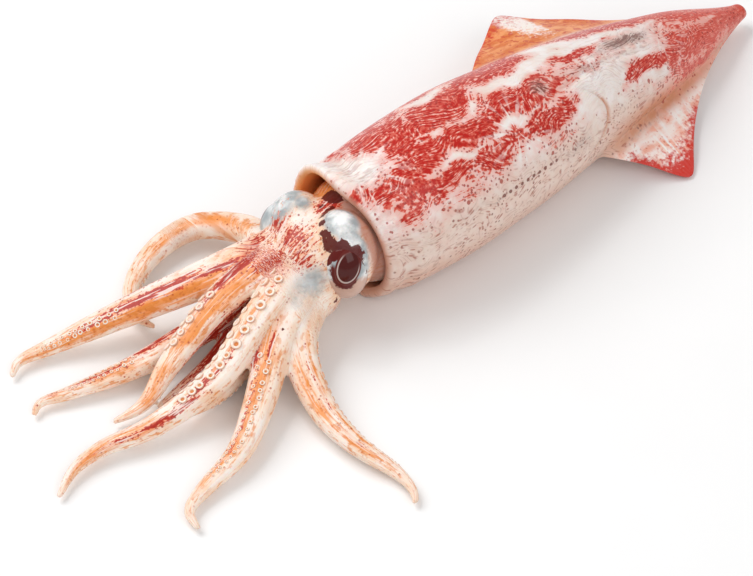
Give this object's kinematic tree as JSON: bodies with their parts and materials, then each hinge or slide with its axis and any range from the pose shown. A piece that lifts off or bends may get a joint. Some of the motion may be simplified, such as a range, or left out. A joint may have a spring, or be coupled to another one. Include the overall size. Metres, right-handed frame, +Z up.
{
  "type": "whole raw squid",
  "caption": "Whole raw squid lying on its belly: tube-shaped mantle with two pointed fins, a head with large eyes, and spread, tapering arms and tentacles with suckers.",
  "frame": {"origin": "on the flat of the belly, under the thick of the mantle, at the level that the squid lies on", "axes": "+X to the tail, -Y to the squid's left side, +Z up, out of the back"},
  "size_m": [0.39, 0.1702, 0.0598],
  "materials": {
    "skin": "wet translucent skin, cream with red and rust speckles and patches",
    "eye": "wet and glossy, dark maroon iris round a black pupil"
  },
  "bodies": {
    "root": {"squid": "skin", "eye_left": "eye", "eye_right": "eye"}
  },
  "joints": []
}
